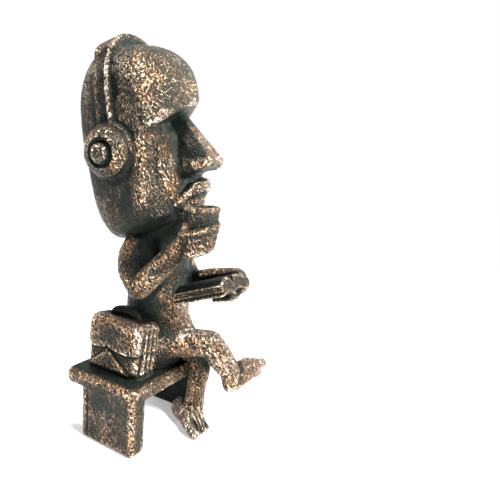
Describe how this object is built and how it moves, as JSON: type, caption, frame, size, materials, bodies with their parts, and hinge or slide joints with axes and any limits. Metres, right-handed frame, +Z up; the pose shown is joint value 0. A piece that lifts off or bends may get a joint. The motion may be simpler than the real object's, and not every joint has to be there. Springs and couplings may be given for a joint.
{
  "type": "moai head figurine",
  "caption": "Small cast figurine: a moai-headed figure wearing headphones sits cross-legged on a bench, drinking from a cup and reading a book.",
  "frame": {"origin": "middle of the figurine's footprint, on the surface that it stands on", "axes": "+Z up; the figure faces -Y; +X runs along the bench from the satchel to the figure's left"},
  "size_m": [0.0548, 0.075, 0.1546],
  "materials": {
    "patina_resin": "cast resin painted as antique bronze: satin metallic brown with copper-rubbed high places and dark green hollows"
  },
  "bodies": {
    "root": {"moai_figurine": "patina_resin"}
  },
  "joints": []
}
